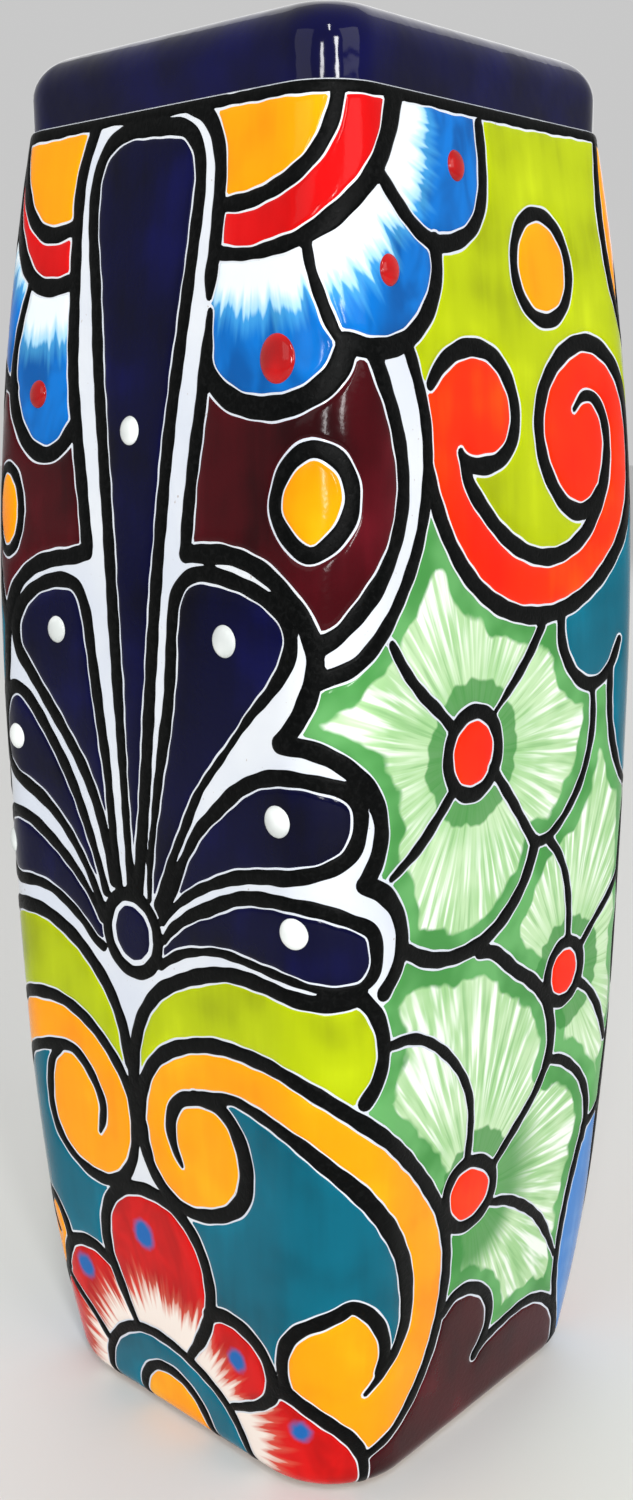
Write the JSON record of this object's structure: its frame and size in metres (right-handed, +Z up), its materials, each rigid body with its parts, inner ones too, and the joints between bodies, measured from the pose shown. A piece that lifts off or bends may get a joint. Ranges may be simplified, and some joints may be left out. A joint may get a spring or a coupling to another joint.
{
  "type": "pottery vase",
  "caption": "Tall square-section pottery vase with rounded corners, a gentle belly, a thick rolled lip and raised painted drops.",
  "frame": {"origin": "centre of the foot, on the surface the vase stands on", "axes": "+Z up the vase; the four faces look along +X, -Y, -X and +Y, and the front corner is between +X and -Y"},
  "size_m": [0.1358, 0.139, 0.374],
  "materials": {
    "clay": "fired clay, unglazed",
    "white_glaze": "glossy",
    "lining_glaze": "glossy",
    "cobalt_glaze": "glossy",
    "white_enamel": "glossy, raised",
    "red_enamel": "glossy",
    "black_outline": "satin, brushed",
    "orange_enamel": "glossy",
    "coral_enamel": "glossy",
    "blue_enamel": "glossy",
    "teal_enamel": "glossy",
    "wine_enamel": "glossy",
    "lime_enamel": "glossy",
    "green_enamel": "glossy, brushed"
  },
  "bodies": {
    "root": {"front_half_wall": "clay", "rear_half_wall": "clay", "floor_slab": "clay", "rim_coil": "clay", "white_glaze": "white_glaze", "lining_glaze": "lining_glaze", "cobalt_rim_glaze": "cobalt_glaze", "white_drops": "white_enamel", "red_drops": "red_enamel"}
  },
  "joints": []
}
